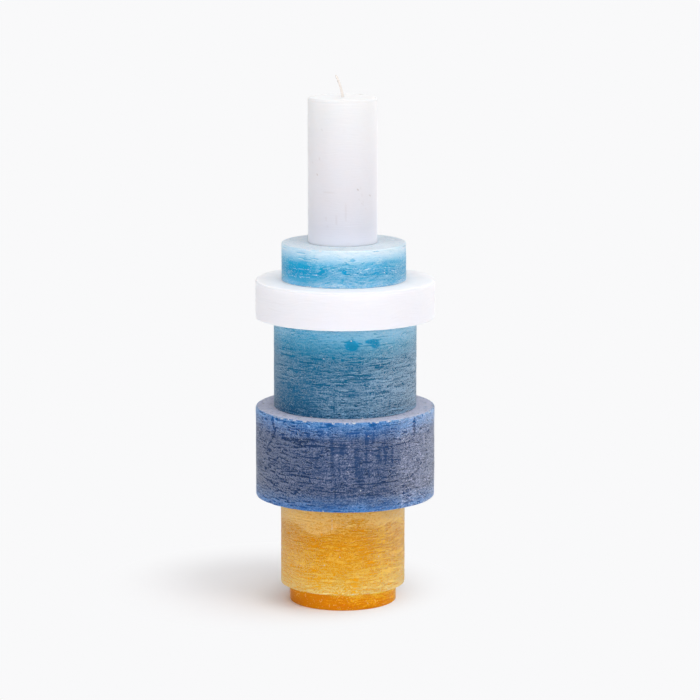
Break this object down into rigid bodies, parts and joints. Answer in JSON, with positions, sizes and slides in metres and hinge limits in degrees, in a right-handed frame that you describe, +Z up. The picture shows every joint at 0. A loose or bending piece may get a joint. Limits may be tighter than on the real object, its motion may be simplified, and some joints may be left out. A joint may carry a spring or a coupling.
{
  "type": "stacked candle",
  "caption": "Tall candle of loose round wax blocks of different widths and colours standing on one another, each with its own cotton wick.",
  "frame": {"origin": "on the surface that the candle stands on, under the middle of its widest blocks", "axes": "+Z up through the stack, +X to the right as the picture shows it, the picture's viewer on the -Y side"},
  "size_m": [0.0988, 0.0988, 0.2923],
  "materials": {
    "amber_wax": "deep amber wax, smooth and translucent",
    "yellow_wax": "yellow wax with a pale bloom and fine level streaks",
    "blue_wax": "violet blue wax with a grey bloom and level and upright smears",
    "teal_wax": "petrol blue wax with a grey bloom and level streaks",
    "sky_wax": "light blue wax with a pale bloom and fine level streaks",
    "white_wax": "smooth white wax, softly translucent",
    "cotton_wick": "braided cotton dipped in wax",
    "tin_plate": "bright tin-plated steel"
  },
  "bodies": {
    "amber_foot": {"amber_foot_wax": "amber_wax", "amber_foot_wick": "cotton_wick", "amber_foot_sustainer": "tin_plate"},
    "yellow_drum_core": {"yellow_drum_sustainer": "tin_plate"},
    "yellow_drum": {"yellow_drum_wax": "yellow_wax", "yellow_drum_wick": "cotton_wick"},
    "blue_drum_core": {"blue_drum_sustainer": "tin_plate"},
    "blue_drum": {"blue_drum_wax": "blue_wax", "blue_drum_wick": "cotton_wick"},
    "teal_drum_core": {"teal_drum_sustainer": "tin_plate"},
    "teal_drum": {"teal_drum_wax": "teal_wax", "teal_drum_wick": "cotton_wick"},
    "white_disc_core": {"white_disc_sustainer": "tin_plate"},
    "white_disc": {"white_disc_wax": "white_wax", "white_disc_wick": "cotton_wick"},
    "sky_disc_core": {"sky_disc_sustainer": "tin_plate"},
    "sky_disc": {"sky_disc_wax": "sky_wax", "sky_disc_wick": "cotton_wick"},
    "pillar_core": {"pillar_sustainer": "tin_plate"},
    "pillar": {"pillar_wax": "white_wax", "pillar_wick": "cotton_wick"}
  },
  "joints": [
    {"name": "yellow_drum_lift", "type": "slide", "parent": "amber_foot", "child": "yellow_drum_core", "axis": [0, 0, 1], "range_m": [0, 0.03]},
    {"name": "yellow_drum_turn", "type": "hinge", "parent": "yellow_drum_core", "child": "yellow_drum", "pos_m": [-0.0013, 0, 0.01005], "axis": [0, 0, 1], "continuous": true},
    {"name": "blue_drum_lift", "type": "slide", "parent": "yellow_drum", "child": "blue_drum_core", "axis": [0, 0, 1], "range_m": [0, 0.03]},
    {"name": "blue_drum_turn", "type": "hinge", "parent": "blue_drum_core", "child": "blue_drum", "pos_m": [0, 0, 0.0601], "axis": [0, 0, 1], "continuous": true},
    {"name": "teal_drum_lift", "type": "slide", "parent": "blue_drum", "child": "teal_drum_core", "axis": [0, 0, 1], "range_m": [0, 0.03]},
    {"name": "teal_drum_turn", "type": "hinge", "parent": "teal_drum_core", "child": "teal_drum", "pos_m": [0, 0, 0.10965], "axis": [0, 0, 1], "continuous": true},
    {"name": "white_disc_lift", "type": "slide", "parent": "teal_drum", "child": "white_disc_core", "axis": [0, 0, 1], "range_m": [0, 0.03]},
    {"name": "white_disc_turn", "type": "hinge", "parent": "white_disc_core", "child": "white_disc", "pos_m": [0, 0, 0.1597], "axis": [0, 0, 1], "continuous": true},
    {"name": "sky_disc_lift", "type": "slide", "parent": "white_disc", "child": "sky_disc_core", "axis": [0, 0, 1], "range_m": [0, 0.03]},
    {"name": "sky_disc_turn", "type": "hinge", "parent": "sky_disc_core", "child": "sky_disc", "pos_m": [-0.0007, 0, 0.18025], "axis": [0, 0, 1], "continuous": true},
    {"name": "pillar_lift", "type": "slide", "parent": "sky_disc", "child": "pillar_core", "axis": [0, 0, 1], "range_m": [0, 0.03]},
    {"name": "pillar_turn", "type": "hinge", "parent": "pillar_core", "child": "pillar", "pos_m": [-0.0013, 0, 0.2008], "axis": [0, 0, 1], "continuous": true}
  ]
}
